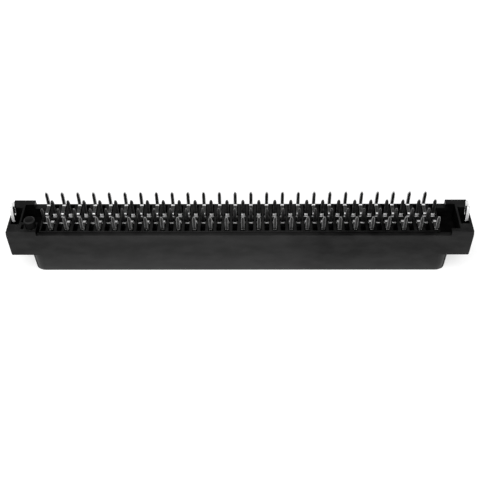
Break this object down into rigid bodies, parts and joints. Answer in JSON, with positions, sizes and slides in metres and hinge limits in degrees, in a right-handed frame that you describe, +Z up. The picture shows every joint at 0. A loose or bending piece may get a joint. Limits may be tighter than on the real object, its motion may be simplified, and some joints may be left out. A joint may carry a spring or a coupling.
{
  "type": "straight board-mount ribbon connector",
  "caption": "Long rectangular board-mount ribbon connector with four staggered rows of solder tails, end hold-downs, a locating peg and a hooded mating side.",
  "frame": {"origin": "middle of the mating hood's rim, midway between the two contact banks; the part stands on the rim with its tails up", "axes": "+X along the contact banks from the peg's end to the plain end, +Y to the back bank, +Z up out of the tail side"},
  "size_m": [0.074, 0.0074, 0.0116],
  "materials": {
    "moulding": "semi-matte glass-filled moulding",
    "contact": "tin-plated, satin",
    "hold_down": "tin-plated, bright"
  },
  "bodies": {
    "root": {"housing": "moulding", "hold_down_left": "hold_down", "hold_down_right": "hold_down", "contacts_01": "contact", "contacts_02": "contact", "contacts_03": "contact", "contacts_04": "contact", "contacts_05": "contact", "contacts_06": "contact", "contacts_07": "contact", "contacts_08": "contact", "contacts_09": "contact", "contacts_10": "contact", "contacts_11": "contact", "contacts_12": "contact", "contacts_13": "contact", "contacts_14": "contact", "contacts_15": "contact", "contacts_16": "contact", "contacts_17": "contact", "contacts_18": "contact", "contacts_19": "contact", "contacts_20": "contact", "contacts_21": "contact", "contacts_22": "contact", "contacts_23": "contact", "contacts_24": "contact", "contacts_25": "contact", "contacts_26": "contact", "contacts_27": "contact", "contacts_28": "contact", "contacts_29": "contact", "contacts_30": "contact", "contacts_31": "contact", "contacts_32": "contact", "contacts_33": "contact", "contacts_34": "contact", "contacts_35": "contact", "contacts_36": "contact", "contacts_37": "contact", "contacts_38": "contact", "contacts_39": "contact", "contacts_40": "contact", "contacts_41": "contact", "contacts_42": "contact", "contacts_43": "contact", "contacts_44": "contact", "contacts_45": "contact", "contacts_46": "contact", "contacts_47": "contact", "contacts_48": "contact", "contacts_49": "contact", "contacts_50": "contact"}
  },
  "joints": []
}
